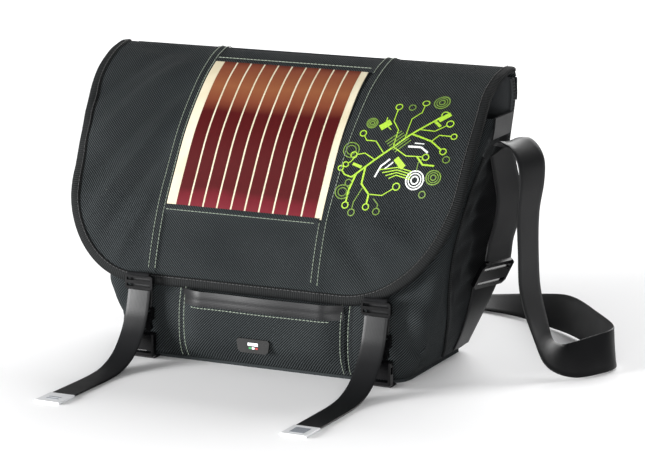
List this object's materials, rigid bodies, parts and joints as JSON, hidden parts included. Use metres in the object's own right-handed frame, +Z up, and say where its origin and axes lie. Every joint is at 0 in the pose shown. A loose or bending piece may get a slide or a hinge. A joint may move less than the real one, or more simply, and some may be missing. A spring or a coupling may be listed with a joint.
{
  "type": "solar messenger bag",
  "caption": "Wedge-shaped fabric messenger bag with a full-width flap carrying a flexible solar panel, strap closures with side-release buckles, and a shoulder strap.",
  "frame": {"origin": "centre of the bag's base, on the face it stands on", "axes": "+Z up, -Y the front (flap) side, +X the right-hand end seen from the front"},
  "size_m": [0.559, 0.554, 0.2929],
  "materials": {
    "fabric": "ballistic nylon, fine diagonal weave",
    "side_fabric": "matt nylon",
    "lining": "smooth lining cloth",
    "webbing": "satin woven webbing",
    "binding": "ribbed binding tape",
    "foam": "padded brushed nylon",
    "board": "stiff polyethylene board",
    "buckle": "moulded acetal",
    "rubber": "soft moulded rubber",
    "film": "ivory laminate film",
    "cell": "maroon thin-film cell under clear film",
    "housing": "moulded housing",
    "steel": "plated steel",
    "tip": "pale moulded strap end"
  },
  "bodies": {
    "root": {"bottom_panel": "fabric", "bottom_board": "board", "front_panel": "fabric", "back_panel": "fabric", "side_gusset_left": "side_fabric", "side_gusset_right": "side_fabric", "gusset_hem_left": "webbing", "gusset_hem_right": "webbing", "front_piping_left": "binding", "front_piping_right": "binding", "gusset_webbing_left": "webbing", "gusset_webbing_right": "webbing", "laptop_divider": "foam", "front_pocket": "fabric", "pocket_mouth_tape": "webbing", "badge": "rubber", "shoulder_strap": "webbing", "adjuster_strap": "webbing", "battery_pocket": "side_fabric", "battery_pack": "housing", "charge_controller": "housing", "usb_socket": "steel", "panel_lead_bag": "rubber", "buckle_tab_left": "webbing", "buckle_tab_right": "webbing"},
    "flap": {"flap_left_panel": "fabric", "flap_centre_panel": "fabric", "flap_right_panel": "fabric", "flap_lining": "lining", "flap_binding": "binding", "solar_laminate": "film", "solar_cell_01": "cell", "solar_cell_02": "cell", "solar_cell_03": "cell", "solar_cell_04": "cell", "solar_cell_05": "cell", "solar_cell_06": "cell", "solar_cell_07": "cell", "solar_cell_08": "cell", "solar_cell_09": "cell", "solar_cell_10": "cell", "junction_box": "housing", "panel_lead_flap": "rubber", "lock_tab_left": "webbing", "lock_tab_right": "webbing"},
    "adjuster": {"adjuster_buckle": "buckle"},
    "closure_left": {"ladder_lock_left": "buckle"},
    "tail_left": {"strap_tail_left": "webbing", "strap_tip_left": "tip"},
    "clip_left": {"buckle_male_left": "buckle", "lower_strap_left": "webbing"},
    "receiver_left": {"buckle_female_left": "buckle"},
    "closure_right": {"ladder_lock_right": "buckle"},
    "tail_right": {"strap_tail_right": "webbing", "strap_tip_right": "tip"},
    "clip_right": {"buckle_male_right": "buckle", "lower_strap_right": "webbing"},
    "receiver_right": {"buckle_female_right": "buckle"}
  },
  "joints": [
    {"name": "flap_hinge", "type": "hinge", "parent": "root", "child": "flap", "pos_m": [0, 0.0845, 0.2832], "axis": [-1, 0, 0], "range_deg": [0, 170]},
    {"name": "adjuster_swing", "type": "hinge", "parent": "root", "child": "adjuster", "pos_m": [0.183, 0.048, 0.077], "axis": [0.3256, 0.9455, 0], "range_deg": [-8, 20]},
    {"name": "closure_swing_left", "type": "hinge", "parent": "flap", "child": "closure_left", "pos_m": [-0.13, -0.0985, 0.0855], "axis": [-1, 0, 0], "range_deg": [0, 60]},
    {"name": "tail_swing_left", "type": "hinge", "parent": "closure_left", "child": "tail_left", "pos_m": [-0.13, -0.0985, 0.0713], "axis": [-1, 0, 0], "range_deg": [0, 70]},
    {"name": "buckle_clip_left", "type": "slide", "parent": "closure_left", "child": "clip_left", "axis": [0, 0, -1], "range_m": [0, 0.0125]},
    {"name": "receiver_swing_left", "type": "hinge", "parent": "root", "child": "receiver_left", "pos_m": [-0.13, -0.0965, 0.0057], "axis": [1, 0, 0], "range_deg": [0, 80]},
    {"name": "closure_swing_right", "type": "hinge", "parent": "flap", "child": "closure_right", "pos_m": [0.129, -0.0985, 0.0855], "axis": [-1, 0, 0], "range_deg": [0, 60]},
    {"name": "tail_swing_right", "type": "hinge", "parent": "closure_right", "child": "tail_right", "pos_m": [0.129, -0.0985, 0.0713], "axis": [-1, 0, 0], "range_deg": [0, 70]},
    {"name": "buckle_clip_right", "type": "slide", "parent": "closure_right", "child": "clip_right", "axis": [0, 0, -1], "range_m": [0, 0.0125]},
    {"name": "receiver_swing_right", "type": "hinge", "parent": "root", "child": "receiver_right", "pos_m": [0.129, -0.0965, 0.0057], "axis": [1, 0, 0], "range_deg": [0, 80]}
  ]
}
